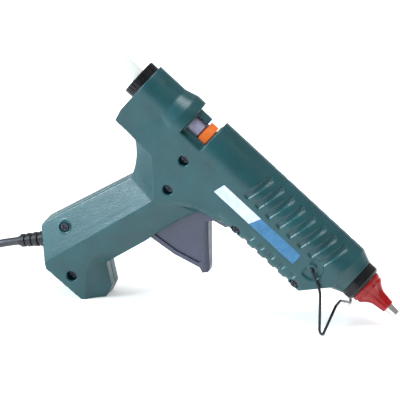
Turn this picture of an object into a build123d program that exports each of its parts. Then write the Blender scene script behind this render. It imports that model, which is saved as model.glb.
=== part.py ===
from build123d import *
from math import atan2, cos, degrees, pi, radians, sin, tan
import os

# Hot glue gun for 11 mm sticks, resting on the foot of its handle and on its wire stand.
# Row frame: +X towards the nozzle along the bench, +Z up, bench at z = 0, origin under the foot.
# Gun frame: x along the barrel towards the nozzle, z up across the barrel, y to its left side.

# ---- driving dimensions (mm, degrees) ----
PITCH = 40.4            # how far the barrel points down when the gun rests on its stand
WALL = 2.4              # housing wall
HALF = 19.0             # half width of barrel and middle body
BARREL_BOTTOM = -33.5
REAR_HALF = 16.2        # half width of the rear section
REAR_BOTTOM = -31.0
REAR_X, NECK_X0, NECK_X1 = -62.6, -20.2, 0.0
NOSE_X = 144.0          # front end of the housing
NOSE_R = 14.8
CORE, SHOULDER = 7.5, 16.2    # widths at which the grip's facets change
STICK_R = 5.6
BORE_R = 6.0            # stick bore in every piece that guides it
SCREW_R, HEAD_R, RECESS_R, BOSS_R = 1.5, 3.0, 3.9, 4.4
TRIGGER_HALF = 6.4
TRIGGER_PIVOT = (13.0, -32.0)
DRIVE_ARM = 20.0        # pivot to drive pin
TRIGGER_TRAVEL = 20.0   # degrees
STAND_PIVOT = (116.2, -9.0)
WIRE_R = 1.0
FOOT_X, FOOT_Z = 8.6, -160.6  # lower end of the foot's resting facet
FOOT_LENGTH = 16.0
CORD_D = 6.0

os.makedirs("parts", exist_ok=True)

pitch = radians(PITCH)
foot_mid_x = FOOT_X + FOOT_LENGTH / 2 * cos(pitch)
foot_mid_z = FOOT_Z + FOOT_LENGTH / 2 * sin(pitch)
gun = Plane(
    origin=(
        -foot_mid_x * cos(pitch) - foot_mid_z * sin(pitch),
        0,
        foot_mid_x * sin(pitch) - foot_mid_z * cos(pitch),
    ),
    x_dir=(cos(pitch), 0, -sin(pitch)),
    z_dir=(sin(pitch), 0, cos(pitch)),
)
side = Plane(gun * Plane.XZ)      # sketch x along the barrel, y up; its normal points to the right
top = Plane(gun * Plane.XY)
barrel_axis = Axis(gun.origin, gun.x_dir)


def across(x):
    """Section plane across the barrel at x: sketch x to the left side, y up."""
    return Plane(gun * Plane.YZ.offset(x))


def spot(x, z):
    """A cross axis through the gun at x, z: a plane whose normal points to the right side."""
    return Plane(origin=gun.from_local_coords((x, 0, z)), x_dir=gun.x_dir, z_dir=(0, -1, 0))


def save(builder, name):
    builder.part.label = name
    export_step(builder.part, f"parts/{name}.step")


def blend(p, q, t):
    return tuple(a + (b - a) * t for a, b in zip(p, q))


def profile_face(plane, points):
    """A sketch of the closed outline of straight lines through points."""
    with BuildSketch(plane) as face:
        with BuildLine():
            Polyline(*points, close=True)
        make_face()
    return face.sketch


def turned(points):
    """A solid turned about the barrel axis from a closed outline of (x, radius) points."""
    with BuildPart() as body:
        revolve(profile_face(side, points), axis=barrel_axis)
    return body.part


# ---- outer form of the housing ----
def u_section(x, r, bottom, corner):
    """Section across the barrel: round top, straight sides, rounded lower corners."""
    with BuildSketch(across(x)) as section:
        with BuildLine():
            ThreePointArc((r, 0), (0, r), (-r, 0))
            FilletPolyline((-r, 0), (-r, bottom), (r, bottom), (r, 0), radius=corner)
        make_face()
    return section.sketch


def barrel_form(inset=0.0):
    """Round top and straight sides, chamfered underneath towards a round nose."""
    r, bottom, tail = HALF - inset, BARREL_BOTTOM + inset, -26 + inset
    inward = Vector(-0.742, 0.367, 0.560)                # normal of the slanted facet beside the chin
    corner = Vector(117, -HALF, BARREL_BOTTOM) + inward * inset
    with BuildPart() as form:
        extrude(u_section(tail, r, bottom, 8 - inset), amount=NOSE_X - tail)
        with BuildSketch(side):
            with BuildLine():
                Polyline((136, -17), (136, 0), (tail, 0), (tail, bottom), (119.5 - inset / 2, bottom),
                         (130 - inset, -22.5 + inset / 2))
                ThreePointArc((130 - inset, -22.5 + inset / 2), (133, -19.4 + inset), (136, -17))
            make_face()
        extrude(amount=30, both=True, mode=Mode.INTERSECT)
        for flip in (1, -1):
            facet = Plane(origin=(corner.X, flip * corner.Y, corner.Z),
                          z_dir=(inward.X, flip * inward.Y, inward.Z))
            split(bisect_by=Plane(gun * facet), keep=Keep.TOP)
        add(turned([(tail, 0), (tail, r), (134, r), (142, 15.5 - inset), (NOSE_X, NOSE_R - inset),
                    (NOSE_X, 0)]))
    return form.part


def rear_form(inset=0.0):
    """Slimmer rear section, flaring out to the width of the barrel on a slanted facet."""
    x0, end, bottom = REAR_X + inset, NECK_X0 + 2, REAR_BOTTOM + inset
    w0, w1 = REAR_HALF - inset, HALF - inset

    def plan(z, start):
        outline = [(x0, w0), (start, w0), (-26, w1), (end, w1)]
        return profile_face(top.offset(z), [*outline, *((x, -w) for x, w in reversed(outline))])

    with BuildPart() as form:
        add(turned([(x0, 0), (x0, w0), (-38, w0), (-28, w1), (end, w1), (end, 0)]))
        loft([plan(0, -36), plan(-40, -54)], ruled=True)
        trim = [(x0, 25), (x0, -22), (x0 + 2.1, bottom), (end, bottom), (end, 25)]
        extrude(profile_face(side, trim), amount=25, both=True, mode=Mode.INTERSECT)
    return form.part


# Grip outlines in side view.  The centre outline is the silhouette, the side outline is where
# the facets meet the flat side, and the shoulder outline lies between them.
centre_rear = [(-49, -12), (-49, -30.8), (-24.5, -61.5), (-56.9, -162)]
side_rear = [(-26, -12), (-26, -27.7), (-0.5, -57.5), (-29.4, -162)]
centre_web, side_web = (-33.5, -43.6), (-13.2, -42.6)
centre_front = [(21.5, -162), (20.8, -148.2), (18.7, -140), (4.3, -128.4), (15.1, -91), (18, -76),
                (23, -58), (28, -46), (36, -40), (50, -36), (50, -12)]
shoulder_front = [(14, -162), (5, -149.5), (-2.5, -139), (-4.6, -128.4), (3, -91), (6.2, -76),
                  (10, -58), (15, -47), (25, -40), (42, -35), (50, -12)]
side_front = [(-28.1, -162), (-24.4, -148.2), (-22.1, -140), (-18.8, -128.4), (-8.4, -91), (-4.3, -76),
              (2.5, -57), (9, -46.5), (19, -39), (36, -33), (50, -12)]
side_share = (SHOULDER - CORE) / (HALF - CORE)
shoulder_rear = [blend(a, b, side_share) for a, b in zip(centre_rear, side_rear)]
shoulder_web = blend(centre_web, side_web, side_share)


def inset_outline(points, inset):
    """Move every edge of an outline of points inwards, keeping its corners sharp."""
    count = len(points)
    moved = []
    for i in range(count):
        before, here, after = (Vector(*points[(i + k) % count], 0) for k in (-1, 0, 1))
        a, b = (here - before).normalized(), (after - here).normalized()
        left_a, left_b = Vector(-a.Y, a.X, 0), Vector(-b.Y, b.X, 0)
        bisector = (left_a + left_b).normalized()
        corner = here + bisector * (inset / bisector.dot(left_a))
        moved.append((corner.X, corner.Y))
    return moved


def grip_face(w, rear, web, front, inset):
    """Outline of the grip in the section at the distance w from the middle."""
    points = inset_outline([rear[0], rear[1], web, rear[2], rear[3], *front], inset)
    with BuildSketch(side.offset(w)) as face:
        with BuildLine():
            ThreePointArc(points[1], points[2], points[3])
            Polyline(*points[3:], points[0], points[1])
        make_face()
    return face.sketch


def grip_form(inset=0.0):
    """Middle body, handle and foot: facets lofted between the outlines of both sides."""
    core = CORE - inset / 2
    centre = centre_rear, centre_web, centre_front, inset
    shoulder = shoulder_rear, shoulder_web, shoulder_front, inset
    with BuildPart() as half:
        extrude(grip_face(0, *centre), amount=core)
        loft([grip_face(core, *centre), grip_face(SHOULDER - inset, *shoulder)], ruled=True)
        if not inset:
            edge = grip_face(HALF, side_rear, side_web, side_front, 0)
            loft([grip_face(SHOULDER, *shoulder), edge], ruled=True)
    # The trim gives the heel, the flat bottom and the facet that rests on the bench.
    x_foot, z_foot = FOOT_X + 60 * cos(pitch), FOOT_Z + 60 * sin(pitch)
    trim = [(-75, 10), (-75, -100), (-49.6, -137), (-48.8, -142.6), (-30, -156.6), (-25, FOOT_Z),
            (FOOT_X, FOOT_Z), (x_foot, z_foot), (x_foot, 10)]
    with BuildPart() as form:
        add(half.part)
        mirror(about=side)
        extrude(profile_face(side, inset_outline(trim, inset)), amount=30, both=True,
                mode=Mode.INTERSECT)
    return form.part


# ---- small builders ----
def bar(x, z, radius, reach, start=0.0):
    """A cylinder across the gun at x, z, from the distance start to reach on the right side."""
    with BuildPart() as rod:
        with BuildSketch(spot(x, z).offset(start)):
            Circle(radius)
        extrude(amount=reach - start)
    return rod.part


def block(x0, x1, w, z0, z1, start=None):
    """A box in the gun frame, from -w to w, or from start to w on the right side."""
    with BuildPart() as box:
        with BuildSketch(side.offset(-w if start is None else start)):
            with Locations(((x0 + x1) / 2, (z0 + z1) / 2)):
                Rectangle(x1 - x0, z1 - z0)
        extrude(amount=w * 2 if start is None else w - start)
    return box.part


def tube(x0, x1, outer_r, inner_r):
    return turned([(x0, inner_r), (x0, outer_r), (x1, outer_r), (x1, inner_r)])


def plate(points, w, start=None):
    """A straight-edged outline in side view, extruded from -w to w, or from start to w."""
    with BuildPart() as flat:
        extrude(profile_face(side.offset(-w if start is None else start), points),
                amount=w * 2 if start is None else w - start)
    return flat.part


# ---- housing shells ----
SCREW_SPOTS = [(-4.3, -15.6), (1.4, -42.2), (-35.6, -127), (-7.6, -151), (56.9, -29.5), (114, -29.5)]
UPPER_GROOVES = [50.8 + 10.33 * i for i in range(8)]     # x of each groove's upper end
LOWER_GROOVES = [66.2 + 10.1 * i for i in range(5)]
GROOVE_DEPTH = 1.1
SLOT_HALF = TRIGGER_HALF + 0.7
CHEEK_W = 15.6                                           # outer ends of the trigger pin's bosses
LABEL_X0, LABEL_X1, LABEL_Z0, LABEL_Z1, LABEL_DEPTH = 27.4, 103.7, -17.0, -7.2, 0.4
GLAND_DROP = radians(12)
GLAND = Plane(                                           # where the cord leaves the heel
    origin=gun.from_local_coords((-38.5, 0, -150.2)),
    x_dir=(0, 1, 0),
    z_dir=(-cos(GLAND_DROP), 0, -sin(GLAND_DROP)),
)
label_outline = [(LABEL_X0 + 1.6, LABEL_Z1), (LABEL_X0 - 0.8, LABEL_Z0), (LABEL_X1, LABEL_Z0),
                 (LABEL_X1, LABEL_Z1)]


def groove_cutters():
    """Slanted grooves over the upper sides and under the lower corners of the barrel."""
    with BuildPart() as cutters:
        with BuildSketch(side):
            for x in UPPER_GROOVES:
                with BuildLine():
                    Polyline((x - 2.2, 17.6), (x - 6.8, -2), (x - 2.4, -3), (x + 2.2, 16.6), close=True)
                make_face()
            for x in LOWER_GROOVES:
                with BuildLine():
                    Polyline((x - 2, -36), (x + 1, -21.5), (x + 5, -22), (x + 2, -36), close=True)
                make_face()
        extrude(amount=30, both=True)
        kept = u_section(40, HALF - GROOVE_DEPTH, BARREL_BOTTOM + GROOVE_DEPTH, 7)
        extrude(kept, amount=100, mode=Mode.SUBTRACT)
    return cutters.part


with BuildPart() as barrel_hollow:
    add(barrel_form(WALL))
    add(block(2.4, 150, 30, -40, 30), mode=Mode.INTERSECT)
with BuildPart() as rear_hollow:
    add(rear_form(WALL))
    add(block(-70, -22.6, 30, -40, 30), mode=Mode.INTERSECT)
with BuildPart() as gland_hole:
    with BuildSketch(GLAND.offset(-7)):
        Circle(4.0)
    extrude(amount=14)

with BuildPart() as shell:
    add(barrel_form())
    add(rear_form())
    add(grip_form())
    add(groove_cutters(), mode=Mode.SUBTRACT)
    # Window round the neck, where the drive is seen from both sides.
    with BuildSketch(across(NECK_X0)):
        Rectangle(50, 50, align=(Align.CENTER, Align.MIN))
        Circle(14, mode=Mode.SUBTRACT)
    extrude(amount=NECK_X1 - NECK_X0, mode=Mode.SUBTRACT)
    # Hollows of barrel, rear section and grip, the stick's passage and the trigger's slot.
    for hollow in (
        barrel_hollow.part,
        rear_hollow.part,
        grip_form(WALL),
        turned([(-65, 0), (-65, 12.1), (6, 12.1), (6, 0)]),
        turned([(NOSE_X - 6, 0), (NOSE_X - 6, 12.3), (NOSE_X + 1, 12.3), (NOSE_X + 1, 0)]),
        block(-24, 6, 12.1, -20, 0),
        block(6, 52.5, SLOT_HALF, -91.5, -26),
        block(-18.8, -8.5, 16, 2.6, 12.6),
        block(-9, -0.8, 16, 2.6, 15),
        gland_hole.part,
    ):
        add(hollow, mode=Mode.SUBTRACT)
    # Screw bosses across the hollow, cheeks for the trigger's pin and bushes for the stand.
    for x, z in SCREW_SPOTS:
        add(bar(x, z, BOSS_R, 14, -14))
    for side_sign in (-1, 1):
        low, high = sorted((side_sign * (SLOT_HALF + 0.1), side_sign * CHEEK_W))
        add(bar(*TRIGGER_PIVOT, 4.5, high, low))
        low, high = sorted((side_sign * 11.5, side_sign * 17.5))
        add(bar(*STAND_PIVOT, 3.6, high, low))
    add(bar(*TRIGGER_PIVOT, 2.0, 14, -14), mode=Mode.SUBTRACT)
    add(bar(*STAND_PIVOT, WIRE_R + 0.06, 25, -25), mode=Mode.SUBTRACT)
    # Arched recess round the stand's pivot on each side, with the boss left standing in it.
    for start in (HALF - 1.3, -HALF - 5):
        with BuildSketch(side.offset(start)):
            with Locations(STAND_PIVOT):
                Circle(9)
                Circle(3.6, mode=Mode.SUBTRACT)
                with Locations((-8, 0)):
                    Rectangle(8, 20, mode=Mode.SUBTRACT)
        extrude(amount=6.3, mode=Mode.SUBTRACT)
    add(plate(label_outline, 25, HALF - LABEL_DEPTH), mode=Mode.SUBTRACT)

HEAD_SEAT = {x: 13.2 for x, _ in SCREW_SPOTS[:4]}        # distance of each screw head's seat
HEAD_SEAT.update({x: 11.0 for x, _ in SCREW_SPOTS[2:4]})
HEAD_SEAT.update({x: 12.5 for x, _ in SCREW_SPOTS[4:]})

with BuildPart() as housing_right:
    add(shell.part)
    split(bisect_by=side, keep=Keep.TOP)
    for x, z in SCREW_SPOTS:
        add(bar(x, z, RECESS_R, 25, HEAD_SEAT[x]), mode=Mode.SUBTRACT)
        add(bar(x, z, SCREW_R + 0.15, HEAD_SEAT[x] + 1, -1), mode=Mode.SUBTRACT)
save(housing_right, "housing_right")

CLAMP_X, CLAMP_Z = -31.7, -141.6                         # cord clamp, on the cable inside the heel
CLAMP_LEAN = pitch + GLAND_DROP                          # of the cable, from the barrel's direction
CLAMP_POSTS = [(CLAMP_X + k * sin(CLAMP_LEAN), CLAMP_Z - k * cos(CLAMP_LEAN)) for k in (-5.9, 5.9)]
SPRING_PEG = (-45.5, -13.5)

with BuildPart() as housing_left:
    add(shell.part)
    split(bisect_by=side, keep=Keep.BOTTOM)
    add(bar(*SPRING_PEG, 1.6, -6, -13.9))
    for x, z in CLAMP_POSTS:
        add(bar(x, z, 2.6, 3, -14))
        add(bar(x, z, 1.2, 4, -4), mode=Mode.SUBTRACT)
    for x, z in SCREW_SPOTS:
        add(bar(x, z, SCREW_R, 1, -12), mode=Mode.SUBTRACT)
save(housing_left, "housing_left")

with BuildPart() as housing_screws:
    for x, z in SCREW_SPOTS:
        seat = HEAD_SEAT[x]
        with BuildSketch(spot(x, z).offset(-11)):
            Circle(SCREW_R)
        extrude(amount=seat + 11)
        with BuildSketch(spot(x, z).offset(seat)):
            Circle(HEAD_R)
        extrude(amount=2.0)
        with BuildSketch(spot(x, z).offset(seat + 1.0)):
            Rectangle(4.2, 0.8)
            Rectangle(0.8, 4.2)
        extrude(amount=1.5, mode=Mode.SUBTRACT)
save(housing_screws, "housing_screws")

# ---- labels on the right side of the barrel ----
label_split = (LABEL_X0 + 37.5, LABEL_X0 + 33.5)         # blue starts here, at the top and the bottom
with BuildPart() as label_white:
    add(plate([label_outline[0], label_outline[1], (label_split[1], LABEL_Z0), (label_split[0], LABEL_Z1)],
              HALF - 0.1, HALF - LABEL_DEPTH))
save(label_white, "label_white")
with BuildPart() as label_blue:
    add(plate([(label_split[0], LABEL_Z1), (label_split[1], LABEL_Z0), label_outline[2], label_outline[3]],
              HALF - 0.1, HALF - LABEL_DEPTH))
save(label_blue, "label_blue")

# ---- stick path, from the rear cap to the nozzle ----
with BuildPart() as rear_inlet_cap:
    add(turned([(REAR_X + 5, BORE_R + 0.4), (REAR_X + 5, 12.05), (REAR_X, 12.05), (REAR_X, 14),
                (REAR_X - 6.4, 14), (REAR_X - 7.2, 13), (REAR_X - 7.2, 9), (REAR_X - 5, BORE_R + 0.4)]))
    with BuildSketch(across(REAR_X - 8)):
        with PolarLocations(14.3, 24):
            Circle(0.8)
    extrude(amount=6.5, mode=Mode.SUBTRACT)
save(rear_inlet_cap, "rear_inlet_cap")

with BuildPart() as glue_stick:
    add(turned([(-88, 0), (-88, STICK_R - 0.4), (-87.6, STICK_R), (60, STICK_R), (64, 2.5), (64, 0)]))
save(glue_stick, "glue_stick")

drive_rest = -TRIGGER_TRAVEL / 2                         # drive pin's angle from the vertical at rest
drive_x = TRIGGER_PIVOT[0] + DRIVE_ARM * sin(radians(drive_rest))
drive_z = TRIGGER_PIVOT[1] + DRIVE_ARM * cos(radians(drive_rest))
feed_travel = -2 * DRIVE_ARM * sin(radians(drive_rest))
print("drive pin", drive_x, drive_z, "feed travel", feed_travel)

with BuildPart() as feed_carriage:
    with BuildSketch(across(-20)):
        RectangleRounded(21, 21, 7.5)
        Circle(STICK_R + 0.3, mode=Mode.SUBTRACT)
    extrude(amount=10.6)
    add(block(-19, drive_x + 3.4, 3.6, -10.5, -7.6))
    add(block(drive_x - 3.4, drive_x + 3.4, 3.6, -17, -8))
    add(block(-20, -17.5, -6.5, -16, -9, start=-10.5))
    with BuildSketch(side.offset(-6)):
        with Locations((drive_x, drive_z - 0.3)):
            SlotCenterToCenter(2.2, 3.3, rotation=90)
    extrude(amount=12, mode=Mode.SUBTRACT)
    add(turned([(-21, 0), (-21, STICK_R + 0.3), (15, STICK_R + 0.3), (15, 0)]), mode=Mode.SUBTRACT)
save(feed_carriage, "feed_carriage")

with BuildPart() as stick_gripper:
    add(tube(-8.0, -1.4, 11.8, STICK_R + 0.3))
    add(tube(-9.4, -8.0, 8.0, STICK_R + 0.3))
    add(block(-10, 0, 3.7, -11, -7.5), mode=Mode.SUBTRACT)
    add(block(-10, 0, 12, -13, -10.8), mode=Mode.SUBTRACT)
save(stick_gripper, "stick_gripper")

with BuildPart() as inlet_sleeve:
    add(turned([(20.6, BORE_R + 1.2), (20.6, 9.4), (44, 9.4), (44, 7.6), (34, 7.6), (34, BORE_R),
                (22, BORE_R)]))
save(inlet_sleeve, "inlet_sleeve")

with BuildPart() as inlet_clamp:
    add(tube(37, 41, 10.3, 9.4))
    add(block(37, 41, 1.5, 10, 13.5))
save(inlet_clamp, "inlet_clamp")

with BuildPart() as heater_seat:
    add(block(58, 102, 8, -12.5, -5))
    add(turned([(50, 0), (50, BORE_R + 1.5), (110, BORE_R + 1.5), (110, 0)]), mode=Mode.SUBTRACT)
with BuildPart() as melting_chamber:
    add(turned([(34, BORE_R), (34, 7.6), (44, 7.6), (44, 10.5), (124, 10.5), (132, 7), (143, 7), (143, 4),
                (132, 4), (128, 2.5), (118, BORE_R)]))
    add(heater_seat.part)
save(melting_chamber, "melting_chamber")

with BuildPart() as chamber_supports:
    for x in (48, 106):
        extrude(u_section(x, HALF - WALL - 0.1, -20, 2), amount=3)
        add(turned([(x - 1, 0), (x - 1, 10.5), (x + 4, 10.5), (x + 4, 0)]), mode=Mode.SUBTRACT)
save(chamber_supports, "chamber_supports")

# Heater stack under the chamber: electrode, ceramic, electrode, insulator and a sprung clip.
with BuildPart() as heater_electrodes:
    for z, sign in ((-12.5, 1), (-15.5, -1)):
        add(block(59, 101, 6, z - 0.5, z))
        low, high = sorted((sign * 5, sign * 10.5))
        add(block(55, 60, high, z - 0.5, z, start=low))
save(heater_electrodes, "heater_electrodes")
with BuildPart() as ptc_heater:
    add(block(60, 100, 5.5, -15.5, -13))
save(ptc_heater, "ptc_heater")
with BuildPart() as heater_insulator:
    add(block(61, 101, 6.8, -16.5, -16))
save(heater_insulator, "heater_insulator")
with BuildPart() as heater_clamp:
    add(block(64, 98, 9.2, -17.3, -16.5))
    for start in (-9.2, 8.4):
        add(block(64, 98, start + 0.8, -16.5, -8.2, start=start))
save(heater_clamp, "heater_clamp")

with BuildPart() as front_collar:
    add(turned([(NOSE_X - 6, 7.05), (NOSE_X - 6, 12.25), (NOSE_X, 12.25), (NOSE_X, NOSE_R), (150.5, NOSE_R),
                (152, 13.4), (152, 7.05)]))
save(front_collar, "front_collar")

with BuildPart() as nozzle:
    add(turned([(133, 2), (133, 4), (143, 4), (143, 6.6), (151, 6.6), (151, 5.6), (158, 5.3), (170, 4.2),
                (175.3, 3.6), (183.2, 2.9), (183.2, 0.9), (176, 0.9), (172, 2)]))
    with BuildSketch(across(144)):
        Circle(8)
        RegularPolygon(5.7, 6, major_radius=False, mode=Mode.SUBTRACT)
    extrude(amount=6, mode=Mode.SUBTRACT)
save(nozzle, "nozzle")

with BuildPart() as nozzle_sleeve:
    with BuildSketch(side):
        with BuildLine():
            Polyline((175.3, 4.7), (175.3, 3.6), (170, 4.2), (158, 5.3), (152, 5.57), (152, 12.5), (158.3, 12.5))
            Spline((158.3, 12.5), (161.2, 8.9), (165.6, 5.9))
            Line((165.6, 5.9), (175.3, 4.7))
        make_face()
    revolve(axis=barrel_axis)
save(nozzle_sleeve, "nozzle_sleeve")

# ---- trigger and drive ----
rim = [(12.4, -46.5), (10.2, -53), (9.6, -62), (9.6, -87.6), (15.8, -88), (36, -85.1), (56.5, -78.9), (60.6, -80.6),
       (62.6, -76.4), (61.2, -74), (54.7, -66.6), (39.2, -48), (38.4, -45.6), (41, -42.2), (50.4, -39.6),
       (51.6, -37.6), (50.4, -36.3), (36, -36.3), (30, -30.5), (22, -27.5), (15, -25.6), (8, -27.5), (7.2, -33),
       (9, -37)]
panel = [(16.5, -45), (13.2, -56), (13, -84.8), (35.2, -82), (53.5, -76.6), (54.4, -73.6), (34.5, -48.8),
         (33.5, -44), (30, -38)]
fork = [(drive_x - 2.6, drive_z - 1), (drive_x - 2.6, drive_z + 1.6), (drive_x, drive_z + 2.8),
        (drive_x + 2.6, drive_z + 1.6), (16.5, -28), (15, -34), (9, -34), (8.2, -28)]
# Across its width the finger edge is rounded, and it ends in a round tip.
finger = Plane(gun * Plane(origin=(38.6, 0, -45.6), x_dir=(0, 1, 0), z_dir=(0.632, 0, -0.775)))
with BuildPart() as finger_tip:
    add(bar(60, -78.3, 3.3, 4.8, -4.8))
    fillet(finger_tip.edges().filter_by(GeomType.CIRCLE), radius=2.9)
with BuildPart() as trigger:
    add(plate(rim, TRIGGER_HALF))
    with BuildSketch(finger):
        with Locations((0, 0.7)):
            Rectangle(18, 10.6)
        with Locations((0, -4.6)):
            Ellipse(TRIGGER_HALF, 4.6, mode=Mode.SUBTRACT)
    extrude(amount=46, mode=Mode.SUBTRACT)
    add(finger_tip.part)
    for start, end in ((TRIGGER_HALF - 1.2, TRIGGER_HALF + 1), (-TRIGGER_HALF - 1, 1.2 - TRIGGER_HALF)):
        add(plate(panel, end, start), mode=Mode.SUBTRACT)
    for start in (-TRIGGER_HALF, TRIGGER_HALF - 2.2):
        add(plate(fork, start + 2.2, start))
    # Space for the carriage's lug between the fork's arms.
    add(block(-5, 30, TRIGGER_HALF - 2.2, -24.5, 0), mode=Mode.SUBTRACT)
    add(bar(*TRIGGER_PIVOT, 2.06, 8, -8), mode=Mode.SUBTRACT)
    add(bar(drive_x, drive_z, 1.5, 8, -8), mode=Mode.SUBTRACT)
save(trigger, "trigger")

with BuildPart() as trigger_pivot_pin:
    add(bar(*TRIGGER_PIVOT, 2.0, 13.9, -13.9))
save(trigger_pivot_pin, "trigger_pivot_pin")
with BuildPart() as drive_pin:
    add(bar(drive_x, drive_z, 1.5, TRIGGER_HALF, -TRIGGER_HALF))
save(drive_pin, "drive_pin")

# Extension spring that pulls the carriage, and with it the trigger, back to rest.
SPRING_Y, SPRING_R, SPRING_WIRE = 8.5, 2.3, 0.35
spring_length = -20.0 - (SPRING_PEG[0] + 1.6)
with BuildPart() as return_spring:
    spring_start = gun.from_local_coords((SPRING_PEG[0] + 1.6 + 1, SPRING_Y, SPRING_PEG[1]))
    with BuildLine() as coil_line:
        Helix(pitch=2.2, height=spring_length - 2, radius=SPRING_R, center=spring_start,
              direction=gun.x_dir)
    with BuildSketch(Plane(origin=coil_line.line @ 0, z_dir=coil_line.line % 0)):
        Circle(SPRING_WIRE)
    sweep()
save(return_spring, "return_spring")

# ---- wire stand: one bent wire, hinged in both sides of the nose ----
STANCE = 36.0
stand_x, stand_z = STAND_PIVOT
foot_wire_x = 156.0
bench = FOOT_Z * cos(pitch) - FOOT_X * sin(pitch)        # height of the bench in the gun frame
FOOT_DIP = -2.14                                         # puts the underside of the bends on the bench
foot_wire_z = (bench + FOOT_DIP + foot_wire_x * sin(pitch)) / cos(pitch)
leg_w = HALF + WIRE_R + 0.25
half_wire = [(stand_x, -(HALF - 6), stand_z), (stand_x, -leg_w, stand_z), (131.5, -leg_w, -17.2),
             (foot_wire_x, -STANCE - 2, foot_wire_z - 0.9), (147.3, -5, -26.0)]
wire_points = [*half_wire, *((x, -y, z) for x, y, z in reversed(half_wire))]
wire_radii = [1.6, 12, 3.4, 5, 5, 3.4, 12, 1.6]
with BuildPart() as wire_stand:
    with BuildLine(gun) as stand_line:
        FilletPolyline(*wire_points, radius=wire_radii)
    with BuildSketch(Plane(origin=stand_line.line @ 0, z_dir=stand_line.line % 0)):
        Circle(WIRE_R)
    sweep()
save(wire_stand, "wire_stand")
box = wire_stand.part.bounding_box()
print("wire stand lowest", box.min.Z)

# ---- mains cord entry, clamp and wiring ----
RELIEF_LENGTH, LEAD_IN = 24.0, 18.4
with BuildPart() as strain_relief:
    with BuildSketch(Plane(GLAND.offset(0).location * Plane.XZ.location)):
        with BuildLine():
            Polyline((3.0, -7.5), (6.2, -7.5), (6.2, -5.2), (3.95, -5.2), (3.95, 1.5), (4.4, 1.5))
            Polyline((4.4, 1.5), (3.6, RELIEF_LENGTH), (3.0, RELIEF_LENGTH), (3.0, -7.5))
        make_face()
    revolve(axis=Axis(GLAND.origin, GLAND.z_dir))
    for i in range(4):
        with BuildSketch(GLAND.offset(3.4 + 5.2 * i)):
            Circle(5.6 - 0.25 * i)
            Circle(3.0, mode=Mode.SUBTRACT)
        extrude(amount=2.9)
save(strain_relief, "strain_relief")

with BuildPart() as cord_lead_in:
    with BuildSketch(GLAND.offset(-LEAD_IN)):
        Circle(CORD_D / 2)
    extrude(amount=LEAD_IN + RELIEF_LENGTH)
save(cord_lead_in, "cord_lead_in")

with BuildPart() as cord_clamp:
    with BuildSketch(spot(CLAMP_X, CLAMP_Z).offset(3)):
        with Locations(Location((0, 0), degrees(CLAMP_LEAN) - 90)):
            SlotOverall(17, 5.6)
            with Locations((-5.9, 0), (5.9, 0)):
                Circle(1.3, mode=Mode.SUBTRACT)
    extrude(amount=2.6)
save(cord_clamp, "cord_clamp")
with BuildPart() as cord_clamp_screws:
    for x, z in CLAMP_POSTS:
        add(bar(x, z, 1.2, 5.6, -3.5))
        add(bar(x, z, 2.3, 7.0, 5.6))
save(cord_clamp_screws, "cord_clamp_screws")

TERMINAL = (-30.5, -17, -133.6, -116)                    # x and z span of the terminal block
with BuildPart() as terminal_block:
    add(block(TERMINAL[0], TERMINAL[1], 8, TERMINAL[2], TERMINAL[3]))
    fillet(terminal_block.edges().filter_by(Axis.Y), radius=1.2)
    for y in (-4, 4):
        with BuildSketch(Plane(gun * Plane.XY.offset(TERMINAL[2] - 1))):
            with Locations(((TERMINAL[0] + TERMINAL[1]) / 2, y)):
                Circle(1.6)
        extrude(amount=30, mode=Mode.SUBTRACT)
        with BuildSketch(Plane(gun * Plane.YZ.offset(TERMINAL[1] - 5))):
            for z in (-129, -120.5):
                with Locations((y, z)):
                    Circle(1.7)
        extrude(amount=10, mode=Mode.SUBTRACT)
save(terminal_block, "terminal_block")
with BuildPart() as terminal_screws:
    with BuildSketch(Plane(gun * Plane.YZ.offset(TERMINAL[1] - 4.6))):
        with Locations(*((y, z) for y in (-4, 4) for z in (-129, -120.5))):
            Circle(1.65)
    extrude(amount=3.4)
save(terminal_screws, "terminal_screws")

CORE_R = 0.9                                             # insulated core of the wiring
for name, sign, heater_z in (("live_wire", -1, -13.0), ("neutral_wire", 1, -16.0)):
    y = sign * 9.3
    wire_route = [(-23.75, sign * 4, -124), (-23.75, sign * 4, -110), (-14, y, -97), (-8.5, y, -72), (-10.5, y, -46),
                  (-6.5, y, -27), (8, y, -23.2), (42, y, -23.2), (54, y, -22), (57.5, y, heater_z - 4.5),
                  (57.5, y, heater_z)]
    with BuildPart() as wiring:
        with BuildLine(gun) as core_line:
            FilletPolyline(*wire_route, radius=[4, 5, 6, 6, 4, 4, 8, 4, 1.2])
        with BuildSketch(Plane(origin=core_line.line @ 0, z_dir=core_line.line % 0)):
            Circle(CORE_R)
        sweep()
    save(wiring, name)

# ---- free cord: down to the bench, a tied coil, and the plug on the coil ----
COIL_X, COIL_Y = -150.0, -13.0
COIL_INNER, COIL_OUTER = 31.0, 37.0                      # centre lines of the two rings of turns
TIE_T = 0.8                                              # the tie lifts the coil by its thickness
coil_low, coil_high = TIE_T, TIE_T + 3 * CORD_D


def on_coil(radius, angle, z):
    return (COIL_X + radius * cos(radians(angle)), COIL_Y + radius * sin(radians(angle)), z)


lead_route = [tuple(GLAND.origin + GLAND.z_dir * reach) for reach in (RELIEF_LENGTH, RELIEF_LENGTH + 16)]
lead_route += [(-93, 2.8, 21.2), (-107, 8.6, 12.2), (-120.5, 15.4, 6), (-131, 20.2, 3.8),
               on_coil(COIL_OUTER, 77, TIE_T + 3)]
tail_route = [on_coil(34, 30, 17.5), on_coil(35.5, 58, 19.5), on_coil(36, 86, 21.9), on_coil(36, 113, 23.2),
              on_coil(36.5, 138, 25.2), on_coil(37, 160, 26.2)]


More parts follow.
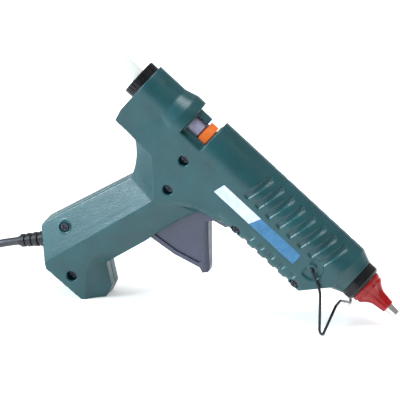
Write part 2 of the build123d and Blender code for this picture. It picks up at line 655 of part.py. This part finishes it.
def cord_radii(route):
    """An arc for each corner, as large as its two runs allow."""
    radii = []
    for before, here, after in zip(route, route[1:], route[2:]):
        a, b = Vector(*here) - Vector(*before), Vector(*after) - Vector(*here)
        radii.append(0.45 * min(a.length, b.length) / tan(radians(a.get_angle(b)) / 2))
    return radii


def cord_tube(route, name):
    """Round cord along straight runs joined by tangent arcs."""
    radii = cord_radii(route)
    with BuildPart() as cord:
        with BuildLine() as line:
            FilletPolyline(*route, radius=radii)
        with BuildSketch(Plane(origin=line.line @ 0, z_dir=line.line % 0)):
            Circle(CORD_D / 2)
        sweep()
    length = sum(edge.length for edge in line.edges())
    expected = length * pi * CORD_D**2 / 4
    print(name, "radii", [round(r, 1) for r in radii], "length", round(length, 1),
          "volume ratio", round(cord.part.volume / expected, 4))
    save(cord, name)
    return length


lead_length = cord_tube(lead_route, "mains_cord")
tail_length = cord_tube(tail_route, "cord_tail")
coil_length = 3 * 2 * pi * (COIL_INNER + COIL_OUTER)
print("cord length", round(lead_length + tail_length + coil_length, 1))

with BuildPart() as cord_coil:
    with BuildSketch(Plane.XY.offset(coil_low)):
        with Locations((COIL_X, COIL_Y)):
            Circle(COIL_OUTER + CORD_D / 2)
            Circle(COIL_INNER - CORD_D / 2, mode=Mode.SUBTRACT)
    extrude(amount=coil_high - coil_low)
    fillet(cord_coil.edges(), radius=2.5)
save(cord_coil, "cord_coil")

with BuildPart() as cord_tie:
    with BuildSketch(Plane(origin=(COIL_X, COIL_Y, 0), x_dir=(0, 1, 0), z_dir=(1, 0, 0)).offset(-4)):
        with Locations((-33.8, (coil_low + coil_high) / 2)):
            RectangleRounded(12.6 + 2 * TIE_T, 18 + 2 * TIE_T, 3)
            RectangleRounded(12.6, 18, 2, mode=Mode.SUBTRACT)
    extrude(amount=8)
save(cord_tie, "cord_tie")

PLUG_L, PLUG_W, PLUG_T = 34.0, 25.5, 13.6
PIN_R, PIN_L, PIN_SPACING = 2.0, 19.0, 18.6
plug_x, plug_y, plug_z = on_coil(37, 160, 26.2)
plug = Plane(origin=(plug_x, plug_y, plug_z), x_dir=(1, 0, 0), z_dir=(0, -1, 0))
with BuildPart() as plug_body:
    with BuildSketch(plug):
        Circle(4.2)
    with BuildSketch(plug.offset(11)):
        Circle(5.6)
    loft()
    for distance, width, depth in ((11, 11.5, 11.5), (24, 22.5, PLUG_T), (11 + PLUG_L, PLUG_W, PLUG_T)):
        with BuildSketch(plug.offset(distance)):
            RectangleRounded(width, depth, 4)
    loft()
    with BuildSketch(plug.offset(-1)):
        Circle(CORD_D / 2)
    extrude(amount=5, mode=Mode.SUBTRACT)
save(plug_body, "plug_body")
with BuildPart() as plug_pins:
    with BuildSketch(plug.offset(11 + PLUG_L)):
        with Locations((-PIN_SPACING / 2, 0), (PIN_SPACING / 2, 0)):
            Circle(PIN_R)
    extrude(amount=PIN_L)
    fillet(plug_pins.faces().sort_by(Axis.Y)[:2].edges(), radius=1)
save(plug_pins, "plug_pins")
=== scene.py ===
from math import cos, pi, radians, sin

import bmesh
import bpy
from mathutils import Matrix, Vector


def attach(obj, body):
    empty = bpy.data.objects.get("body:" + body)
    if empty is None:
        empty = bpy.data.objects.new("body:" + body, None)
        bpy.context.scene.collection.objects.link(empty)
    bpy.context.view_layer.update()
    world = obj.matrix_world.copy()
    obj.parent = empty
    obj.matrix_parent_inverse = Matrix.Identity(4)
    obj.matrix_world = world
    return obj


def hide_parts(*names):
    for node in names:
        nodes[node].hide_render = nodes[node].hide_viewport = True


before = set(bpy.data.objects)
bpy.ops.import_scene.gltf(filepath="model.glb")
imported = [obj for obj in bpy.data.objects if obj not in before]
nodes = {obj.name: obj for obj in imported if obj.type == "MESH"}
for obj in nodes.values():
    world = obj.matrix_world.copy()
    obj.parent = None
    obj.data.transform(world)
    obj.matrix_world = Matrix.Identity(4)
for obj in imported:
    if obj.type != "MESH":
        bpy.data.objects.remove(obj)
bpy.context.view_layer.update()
scene = bpy.context.scene
MM = 0.001

# The gun's own frame: x along the barrel towards the nozzle, z up across it, in the row frame.
PITCH = radians(40.4)
GUN_ORIGIN = Vector((0.0895388, 0, 0.1278769))
ALONG = Vector((cos(PITCH), 0, -sin(PITCH)))
ACROSS = Vector((sin(PITCH), 0, cos(PITCH)))


def gun(x, y, z):
    """A point given in millimetres in the gun's frame, in the row frame in metres."""
    return GUN_ORIGIN + (ALONG * x + ACROSS * z) * MM + Vector((0, y * MM, 0))


# ---- camera ----
AZIMUTH, ELEVATION, ROLL = radians(20.5), radians(22.4), radians(1.8)
DISTANCE = 6.0                      # metres; far off, so the picture has almost no perspective
VIEW_WIDTH = 0.288                  # metres across the picture at the gun
AIM_LEFT, AIM_DOWN = 0.0067, 0.0419     # from the gun's origin to the middle of the picture
SENSOR = 36                         # millimetres
back = Vector((sin(AZIMUTH) * cos(ELEVATION), -cos(AZIMUTH) * cos(ELEVATION), sin(ELEVATION)))
level = Vector((cos(AZIMUTH), sin(AZIMUTH), 0))
upright = back.cross(level)
view_right = level * cos(ROLL) - upright * sin(ROLL)
view_up = upright * cos(ROLL) + level * sin(ROLL)
aim = GUN_ORIGIN - view_right * AIM_LEFT - view_up * AIM_DOWN
camera = bpy.data.objects.new("camera", bpy.data.cameras.new("camera"))
scene.collection.objects.link(camera)
camera.data.lens = SENSOR * DISTANCE / VIEW_WIDTH
camera.data.sensor_width = SENSOR
place = aim + back * DISTANCE
camera.matrix_world = Matrix.Translation(place) @ Matrix((view_right, view_up, back)).transposed().to_4x4()
camera.data.clip_start = 0.05
scene.camera = camera


# ---- materials ----
def linear(*rgb):
    """An sRGB colour given as 0 to 255, as the linear colour that shaders take."""
    values = [c / 255 for c in rgb]
    return tuple(c / 12.92 if c <= 0.04045 else ((c + 0.055) / 1.055) ** 2.4 for c in values) + (1.0,)


# The Mix node's colour sockets, which share their names with its other sockets.
COLOR_A, COLOR_B, MIXED_COLOR = 6, 7, 2
# Noise scales, in cells per metre, of the cloudy colour, the patches of wear and the uneven gloss.
CLOUDS, PATCHES, GLOSS = 55.0, 160.0, 240.0


def finish_material(name, color, rough, grain=1400.0, grain_depth=0.00002, mottle=0.10, rough_spread=0.08,
                    wear=0.35, wear_color=None, stretch=None, **sockets):
    """Moulded or machined surface: grain as bump, cloudy colour, uneven gloss and worn edges."""
    material = bpy.data.materials.new(name)
    material.use_nodes = True
    tree = material.node_tree
    tree.nodes.clear()
    add, link = tree.nodes.new, tree.links.new
    output = add("ShaderNodeOutputMaterial")
    shader = add("ShaderNodeBsdfPrincipled")
    link(shader.outputs["BSDF"], output.inputs["Surface"])
    for socket, value in sockets.items():
        shader.inputs[socket.replace("_", " ")].default_value = value
    coords = add("ShaderNodeTexCoord")
    place_on = coords.outputs["Object"]
    if stretch:
        mapping = add("ShaderNodeMapping")
        mapping.inputs["Scale"].default_value = stretch
        mapping.inputs["Rotation"].default_value = (0, PITCH, 0)
        link(coords.outputs["Object"], mapping.inputs["Vector"])
        place_on = mapping.outputs["Vector"]

    def noise(scale, detail, at):
        node = add("ShaderNodeTexNoise")
        node.inputs["Scale"].default_value = scale
        node.inputs["Detail"].default_value = detail
        link(at, node.inputs["Vector"])
        return node.outputs["Fac"]

    def ranged(value, low, high, from_low=0.3, from_high=0.7):
        node = add("ShaderNodeMapRange")
        link(value, node.inputs["Value"])
        limits = {"From Min": from_low, "From Max": from_high, "To Min": low, "To Max": high}
        for socket, number in limits.items():
            node.inputs[socket].default_value = number
        return node.outputs["Result"]

    def mixed(factor, a, b):
        node = add("ShaderNodeMix")
        node.data_type = "RGBA"
        link(factor, node.inputs["Factor"])
        for socket, value in ((node.inputs[COLOR_A], a), (node.inputs[COLOR_B], b)):
            if isinstance(value, tuple):
                socket.default_value = value
            else:
                link(value, socket)
        return node.outputs[MIXED_COLOR]

    darker = tuple(c * (1 - mottle) for c in color[:3]) + (1.0,)
    lighter = tuple(min(1.0, c * (1 + mottle)) for c in color[:3]) + (1.0,)
    cloud = mixed(ranged(noise(CLOUDS, 3.0, coords.outputs["Object"]), 0.0, 1.0), darker, lighter)
    speck = mixed(ranged(noise(grain * 0.6, 2.0, place_on), 0.0, 0.5), cloud, lighter)
    geometry = add("ShaderNodeNewGeometry")
    edge = ranged(geometry.outputs["Pointiness"], 0.0, wear, 0.53, 0.62)
    patchy = ranged(noise(PATCHES, 4.0, coords.outputs["Object"]), 0.0, 1.0, 0.42, 0.62)
    worn = add("ShaderNodeMath")
    worn.operation = "MULTIPLY"
    link(edge, worn.inputs[0])
    link(patchy, worn.inputs[1])
    rub = wear_color or tuple(min(1.0, c * 1.6 + 0.03) for c in color[:3]) + (1.0,)
    link(mixed(worn.outputs[0], speck, rub), shader.inputs["Base Color"])
    link(ranged(noise(GLOSS, 3.0, coords.outputs["Object"]), rough - rough_spread, rough + rough_spread),
         shader.inputs["Roughness"])
    bump = add("ShaderNodeBump")
    bump.inputs["Strength"].default_value = 1.0
    bump.inputs["Distance"].default_value = grain_depth
    link(noise(grain, 2.0, place_on), bump.inputs["Height"])
    link(bump.outputs["Normal"], shader.inputs["Normal"])
    return material


GREEN = linear(10, 64, 69)
# Each material's numbers: roughness, then scale and depth in metres of the grain, then mottle.
M = {
    "housing": finish_material("housing_plastic", GREEN, 0.34, 1000.0, 0.00011, 0.25, rough_spread=0.05,
                               Specular_IOR_Level=0.5),
    "black": finish_material("black_plastic", linear(9, 9, 13), 0.28, 1500.0, 0.00003,
                             Specular_IOR_Level=0.28),
    "trigger": finish_material("trigger_plastic", linear(58, 62, 80), 0.34, 1600.0, 0.00002),
    "red": finish_material("red_silicone", linear(146, 3, 8), 0.24, 900.0, 0.00001, 0.08,
                           Specular_IOR_Level=0.35, Subsurface_Weight=0.1, Subsurface_Scale=0.002),
    "orange": finish_material("orange_silicone", linear(232, 112, 34), 0.38, 900.0, 0.00001, 0.08,
                              Subsurface_Weight=0.1, Subsurface_Scale=0.002),
    "carriage": finish_material("carriage_plastic", linear(138, 136, 160), 0.4, 1400.0, 0.00002),
    # Screw heads: the steel colour is darkened below its own tone as painted shade, standing in for the shade
    # down in the screw recesses.
    "screw": finish_material("screw_steel_painted_shade", linear(56, 58, 66), 0.3, 900.0, 0.00001, 0.06, Metallic=1.0),
    "steel": finish_material("steel", linear(190, 190, 195), 0.26, 900.0, 0.00001, 0.06, Metallic=1.0,
                             stretch=(1, 1, 6)),
    "tip": finish_material("nickel_tip", linear(205, 202, 200), 0.2, 700.0, 0.00001, 0.06, Metallic=1.0,
                           stretch=(8, 1, 1)),
    "wire": finish_material("black_wire", linear(34, 34, 38), 0.32, 900.0, 0.00002, wear=0.5,
                            wear_color=linear(120, 120, 125), Metallic=0.4),
    "glue": finish_material("hot_melt_glue", linear(228, 230, 226), 0.3, 500.0, 0.00002, 0.03,
                            Subsurface_Weight=0.4, Subsurface_Scale=0.003, Subsurface_Radius=(1, 1, 1),
                            Coat_Weight=0.3),
    "white_film": finish_material("label_film_white", linear(186, 196, 206), 0.34, 700.0, 0.00001, 0.03),
    "blue_film": finish_material("label_film_blue", linear(34, 98, 138), 0.34, 700.0, 0.00001, 0.05),
    "cord": finish_material("cord_sheath", linear(44, 42, 50), 0.45, 1000.0, 0.00003),
    "rubber": finish_material("relief_rubber", linear(18, 18, 24), 0.42, 1000.0, 0.00003, wear=0.2),
    "brass": finish_material("brass", linear(190, 160, 90), 0.3, 900.0, 0.00001, Metallic=1.0),
    "ivory": finish_material("ivory_plastic", linear(214, 206, 184), 0.45),
    "brown": finish_material("brown_sheath", linear(96, 58, 32), 0.45),
    "blue": finish_material("blue_sheath", linear(36, 70, 150), 0.45),
    "aluminium": finish_material("cast_aluminium", linear(186, 186, 190), 0.42, 800.0, 0.00006, Metallic=1.0),
    "ceramic": finish_material("ceramic", linear(150, 146, 138), 0.6),
    "amber": finish_material("amber_film", linear(190, 124, 40), 0.3),
}
USES = {
    "housing": "housing_right housing_left",
    "black": "rear_inlet_cap front_collar cord_tie",
    "trigger": "trigger",
    "red": "nozzle_sleeve",
    "orange": "inlet_sleeve stick_gripper",
    "carriage": "feed_carriage",
    "screw": "housing_screws",
    "steel": "inlet_clamp heater_clamp trigger_pivot_pin drive_pin return_spring "
             "cord_clamp_screws plug_pins",
    "tip": "nozzle",
    "wire": "wire_stand",
    "glue": "glue_stick",
    "white_film": "label_white",
    "blue_film": "label_blue",
    "rubber": "strain_relief",
    "cord": "cord_lead_in mains_cord cord_tail cord_coil plug_body",
    "brass": "terminal_screws",
    "ivory": "chamber_supports cord_clamp terminal_block",
    "brown": "live_wire",
    "blue": "neutral_wire",
    "aluminium": "melting_chamber heater_electrodes",
    "ceramic": "ptc_heater",
    "amber": "heater_insulator",
}


def paint(obj, material):
    obj.data.materials.clear()
    obj.data.materials.append(M[material])


for use, names in USES.items():
    for name in names.split():
        paint(nodes[name], use)


# ---- soft moulded pieces over the CAD shapes ----
WELD = 1e-6             # metres within which the CAD mesh's corners are one point
VOXEL = 0.0006          # metres
SMOOTHING_ROUNDS = 4


def moulded(node, body, material):
    """The CAD shape with the soft edges of a moulding."""
    mesh = nodes[node].data.copy()
    work = bmesh.new()
    work.from_mesh(mesh)
    bmesh.ops.remove_doubles(work, verts=work.verts, dist=WELD)
    work.to_mesh(mesh)
    work.free()
    obj = bpy.data.objects.new(node + "_moulded", mesh)
    scene.collection.objects.link(obj)
    remesh = obj.modifiers.new("remesh", "REMESH")
    remesh.mode = "VOXEL"
    remesh.voxel_size = VOXEL
    smooth = obj.modifiers.new("smooth", "SMOOTH")
    smooth.factor = 0.5
    smooth.iterations = SMOOTHING_ROUNDS
    bpy.context.view_layer.update()
    evaluated = obj.evaluated_get(bpy.context.evaluated_depsgraph_get())
    obj.data = bpy.data.meshes.new_from_object(evaluated)
    obj.modifiers.clear()
    obj.data.polygons.foreach_set("use_smooth", [True] * len(obj.data.polygons))
    paint(obj, material)
    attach(obj, body)
    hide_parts(node)


moulded("housing_right", "housing", "housing")
moulded("housing_left", "housing", "housing")

# ---- ribbed silicone sleeve on the nozzle ----
# Outline of the sleeve as x and radius in millimetres, and the depth of the flutes between its ribs there.
SLEEVE = (
    (152.05, 10.0, 0.0), (152.05, 12.3, 0.0), (152.6, 12.6, 0.0), (155.0, 12.6, 0.02), (155.4, 11.9, 0.10),
    (157.6, 11.9, 0.12), (158.4, 11.4, 0.16), (159.8, 9.9, 0.17), (161.4, 8.5, 0.16), (163.4, 7.1, 0.13),
    (165.6, 6.2, 0.10), (169.0, 5.7, 0.08), (173.5, 5.1, 0.06), (175.0, 4.9, 0.03), (175.3, 4.6, 0.0),
    (175.3, 3.9, 0.0), (170.0, 4.4, 0.0), (158.0, 5.5, 0.0), (153.0, 5.8, 0.0), (152.05, 6.2, 0.0),
)
RIBS, SLEEVE_STEPS = 8, 96
RIB_FULLNESS = 0.6      # under 1 makes the ribs broad and the flutes between them narrow
sleeve_points, sleeve_faces = [], []
for x, r, flute in SLEEVE:
    for i in range(SLEEVE_STEPS):
        turn = 2 * pi * i / SLEEVE_STEPS
        wave = 0.5 + 0.5 * cos(RIBS * turn)
        here = r * (1 - flute * (1 - wave ** RIB_FULLNESS))
        sleeve_points.append(gun(x, here * sin(turn), here * cos(turn)))
for ring in range(len(SLEEVE)):
    after = (ring + 1) % len(SLEEVE)
    for i in range(SLEEVE_STEPS):
        j = (i + 1) % SLEEVE_STEPS
        sleeve_faces.append((ring * SLEEVE_STEPS + i, ring * SLEEVE_STEPS + j, after * SLEEVE_STEPS + j,
                             after * SLEEVE_STEPS + i))
sleeve_mesh = bpy.data.meshes.new("ribbed_sleeve")
sleeve_mesh.from_pydata(sleeve_points, [], sleeve_faces)
sleeve_mesh.polygons.foreach_set("use_smooth", [True] * len(sleeve_mesh.polygons))
sleeve = bpy.data.objects.new("ribbed_sleeve", sleeve_mesh)
scene.collection.objects.link(sleeve)
paint(sleeve, "red")
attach(sleeve, "housing")
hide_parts("nozzle_sleeve")

# ---- mains cord ----
CORD_RADIUS = 0.003     # metres
COIL = Vector((-0.150, -0.013, 0))
# From the strain relief down to the surface.
LEAD = ((-0.060604, 0, 0.033456), (-0.076254, 0, 0.03013), (-0.093, 0.0028, 0.0212),
        (-0.107, 0.0086, 0.0122), (-0.1205, 0.0154, 0.006), (-0.131, 0.0202, 0.0038))
# Turns of the coil: angle in degrees, radius and height in millimetres where the cord's lay changes.
LAY = (
    (77, 37, 3.8), (437, 37, 3.8), (487, 31, 3.8), (770, 31, 3.8), (820, 31, 9.8), (1090, 31, 9.8),
    (1130, 37, 9.8), (1420, 37, 9.8), (1465, 37, 15.8), (1760, 37, 15.8), (1805, 31, 15.8), (2090, 31, 15.8),
    (2140, 34, 21.6), (2200, 34.6, 21.6), (2273, 36, 23.6), (2290, 37, 25.0),
)
TO_PLUG = ((-0.1818, 0.0072, 0.0261), (-0.18477, 0.0015, 0.0262), (-0.18477, -0.0034, 0.0262))


def lay_at(angle):
    """Radius and height of the coil's lay at an angle, easing from each row of LAY to the next."""
    for (a, r, z), (b, next_r, next_z) in zip(LAY, LAY[1:]):
        if angle <= b:
            t = (angle - a) / (b - a)
            t = t * t * (3 - 2 * t)
            return r + (next_r - r) * t, z + (next_z - z) * t
    return LAY[-1][1:]


route = list(LEAD)
TURN_STEP = 20          # degrees between the route's points in the coil
CUT_CORNER = 0.985      # how far inside its points the curve runs there
for step in range(int((LAY[-1][0] - LAY[0][0]) / TURN_STEP) + 1):
    angle = LAY[0][0] + step * TURN_STEP
    radius, height = lay_at(angle)
    radius = radius / CUT_CORNER
    route.append((COIL.x + radius * MM * cos(radians(angle)), COIL.y + radius * MM * sin(radians(angle)),
                  height * MM))
route += TO_PLUG
curve = bpy.data.curves.new("mains_cord_free", "CURVE")
curve.dimensions = "3D"
curve.bevel_depth = CORD_RADIUS
curve.bevel_resolution = 6
curve.resolution_u = 8
curve.use_fill_caps = True
spline = curve.splines.new("NURBS")
spline.points.add(len(route) - 1)
for point, at in zip(spline.points, route):
    point.co = (*at, 1)
spline.order_u = 3
spline.use_endpoint_u = True
cord = bpy.data.objects.new("mains_cord_free", curve)
scene.collection.objects.link(cord)
paint(cord, "cord")
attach(cord, "housing")
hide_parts("mains_cord", "cord_tail", "cord_coil")

# ---- floor and lights ----
floor_mesh = bpy.data.meshes.new("floor")
FLOOR_HALF = 6          # metres
corners = [(x * FLOOR_HALF, y * FLOOR_HALF, 0) for x, y in ((-1, -1), (1, -1), (1, 1), (-1, 1))]
floor_mesh.from_pydata(corners, [], [(0, 1, 2, 3)])
floor = bpy.data.objects.new("floor", floor_mesh)
scene.collection.objects.link(floor)
floor.data.materials.append(finish_material("floor_paper", (0.93, 0.93, 0.93, 1), 0.7, 300.0, 0.00002, 0.01,
                                            Emission_Color=(1, 1, 1, 1), Emission_Strength=0.34))

world = bpy.data.worlds.new("studio")
scene.world = world
world.use_nodes = True
world.node_tree.nodes["Background"].inputs["Color"].default_value = (1, 1, 1, 1)
world.node_tree.nodes["Background"].inputs["Strength"].default_value = 0.42


def softbox(name, offset, size, power, color):
    """A square area light placed from the gun's origin and turned to it."""
    light = bpy.data.lights.new(name, "AREA")
    light.size = size
    light.energy = power
    light.color = color
    obj = bpy.data.objects.new(name, light)
    scene.collection.objects.link(obj)
    obj.location = GUN_ORIGIN + Vector(offset)
    obj.rotation_euler = Vector(offset).to_track_quat("Z", "Y").to_euler()


softbox("key", (-2.2, -1.15, 1.1), 1.3, 100, (0.74, 0.90, 1.0))
softbox("top", (0.2, 0.1, 2.4), 1.6, 62, (0.94, 0.98, 1))
scene.view_settings.view_transform = "Standard"
scene.view_settings.look = "None"
